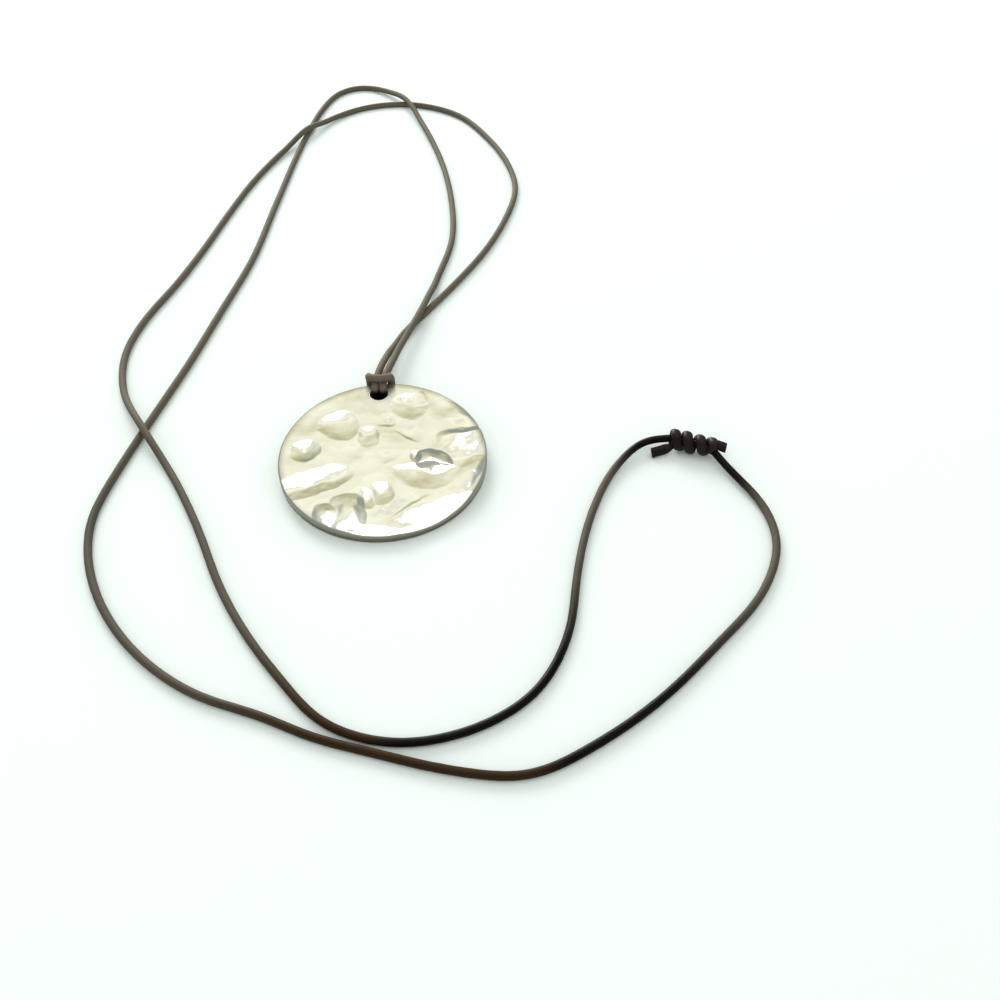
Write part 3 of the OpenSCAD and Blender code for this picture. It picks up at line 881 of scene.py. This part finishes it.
# The room's colours change between these parts of the directions up, aside and to the viewer.
LOW_DARK = 0.276
LOW_TAN = 0.50
HIGH_PALE = 0.788
MIDDLE_X = -0.1
ASIDE = (0.15, 0.55)
ASIDE_SHARE = 0.8
TO_VIEWER = (-0.10, -0.45)
LOW_COLOUR = (0.28, 0.32, 0.34, 1)
TAN_COLOUR = (0.585, 0.573, 0.39, 1)
PALE_COLOUR = (1.03, 1.03, 0.91, 1)
SIDE_COLOUR = (0.26, 0.29, 0.31, 1)
VIEWER_COLOUR = (0.42, 0.44, 0.44, 1)
FRAME_COLOUR = (0.50, 0.54, 0.54, 1)
LIGHT_COLOUR = (2.6, 2.6, 2.6, 1)
FILL_COLOUR = (0.87, 0.87, 0.86, 1)
BACKDROP_COLOUR = (0.97, 0.98, 0.97, 1)


def world_light():
    """Surroundings by direction: a round ceiling light almost overhead with a dim frame, a
    pale room, and dimmer places low down, at the sides and behind the viewer. Diffuse
    surfaces get an even fill instead, and the camera itself sees a plain pale backdrop."""
    world = bpy.data.worlds.new("studio")
    scene.world = world
    world.use_nodes = True
    tree = world.node_tree
    way = add(tree, "TexCoord").outputs["Generated"]
    x, y, z = add(tree, "SeparateXYZ", {0: way}).outputs
    room = mix(tree, ramp(tree, z, LOW_DARK, LOW_TAN), LOW_COLOUR, TAN_COLOUR)
    paler = add(tree, "MapRange", {"Value": z, "From Min": LOW_TAN, "From Max": HIGH_PALE})
    room = mix(tree, paler.outputs[0], room, PALE_COLOUR)
    off_middle = math_node(tree, "ABSOLUTE", math_node(tree, "ADD", x, -MIDDLE_X))
    aside = math_node(tree, "MULTIPLY", ramp(tree, off_middle, *ASIDE), ASIDE_SHARE)
    room = mix(tree, aside, room, SIDE_COLOUR)
    room = mix(tree, ramp(tree, y, *TO_VIEWER), room, VIEWER_COLOUR)
    to_light = (0, math.cos(LIGHT_HIGH), math.sin(LIGHT_HIGH))
    near = add(tree, "VectorMath", {0: way, 1: to_light}, operation="DOT_PRODUCT")
    near = near.outputs["Value"]
    in_frame = ramp(tree, near, math.cos(LIGHT_HALF + FRAME_W), math.cos(LIGHT_HALF))
    room = mix(tree, math_node(tree, "MULTIPLY", in_frame, FRAME_SHARE), room, FRAME_COLOUR)
    in_light = ramp(tree, near, math.cos(LIGHT_HALF), math.cos(LIGHT_HALF - LIGHT_EDGE))
    lit = mix(tree, in_light, room, LIGHT_COLOUR)
    ray = add(tree, "LightPath").outputs
    lit = mix(tree, ray["Is Diffuse Ray"], lit, FILL_COLOUR)
    lit = mix(tree, ray["Is Camera Ray"], lit, BACKDROP_COLOUR)
    tree.links.new(lit, tree.nodes["Background"].inputs["Color"])


world_light()


def soft_light(name, place, aim, size, power, colour):
    """A round area light at a place, turned to its aim."""
    light = bpy.data.lights.new(name, "AREA")
    light.shape = "DISK"
    light.size = size
    light.energy = power
    light.color = colour
    made = bpy.data.objects.new(name, light)
    made.location = place
    made.rotation_euler = (Vector(aim) - Vector(place)).to_track_quat("-Z", "Y").to_euler()
    scene.collection.objects.link(made)
    return made


key = soft_light("key", place=(-0.20, 0.55, 0.34), aim=(0, 0.02, 0), size=0.32, power=2.2,
                 colour=(1.0, 1.0, 1.0))
key.visible_glossy = False

# A low light behind that only rims the dark cord, as the window does in the photograph.
rim_lit = bpy.data.collections.new("rim_lit")
for piece in (left_cord, right_cord, hitch, knots["left"], knots["right"]):
    rim_lit.objects.link(piece)
rim = soft_light("rim", place=(-0.30, 0.86, 0.32), aim=(0, 0, 0), size=0.50, power=13.5,
                 colour=(0.95, 1.0, 0.97))
rim.light_linking.receiver_collection = rim_lit

scene.view_settings.view_transform = "Standard"
